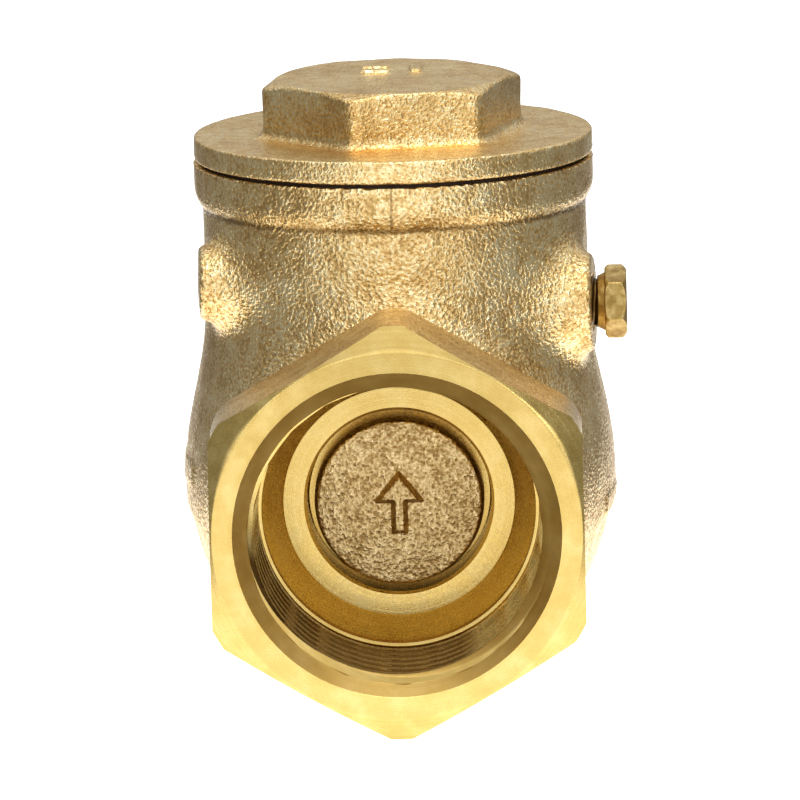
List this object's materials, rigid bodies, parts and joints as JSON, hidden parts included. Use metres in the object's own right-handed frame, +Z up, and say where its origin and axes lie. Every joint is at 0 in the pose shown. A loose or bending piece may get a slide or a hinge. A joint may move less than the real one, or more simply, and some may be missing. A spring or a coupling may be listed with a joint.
{
  "type": "swing check valve",
  "caption": "Brass swing check valve with female pipe-thread ends, a screwed bonnet cap and a hinged disc that lets water through one way.",
  "frame": {"origin": "centre of the inlet end face, on the bore axis", "axes": "+Y along the bore in the flow direction, +Z up through the bonnet cap, +X towards the hinge pin plug"},
  "size_m": [0.0487, 0.074, 0.0675],
  "materials": {
    "cast_brass": "sand-cast, bead blasted, matte",
    "machined_brass": "turned, bright",
    "gasket_rubber": "matte dark brown",
    "stainless_steel": "ground"
  },
  "bodies": {
    "valve_body": {"body": "cast_brass", "bonnet_cap": "cast_brass", "bonnet_gasket": "gasket_rubber", "hinge_pin_plug": "machined_brass"},
    "hinge_pin": {"hinge_pin": "stainless_steel"},
    "hanger": {"hanger_arm": "cast_brass"},
    "clapper": {"clapper_disc": "cast_brass", "disc_washer": "machined_brass", "disc_nut": "machined_brass", "nut_split_pin": "stainless_steel"}
  },
  "joints": [
    {"name": "flapper_swing", "type": "hinge", "parent": "valve_body", "child": "hanger", "pos_m": [0, 0.027, 0.0202], "axis": [1, 0, 0], "range_deg": [0, 54]},
    {"name": "disc_spin", "type": "hinge", "parent": "hanger", "child": "clapper", "pos_m": [0, 0.03, -0.0004], "axis": [0, 1, 0], "continuous": true},
    {"name": "pin_spin", "type": "hinge", "parent": "valve_body", "child": "hinge_pin", "pos_m": [0, 0.027, 0.0202], "axis": [1, 0, 0], "continuous": true}
  ]
}
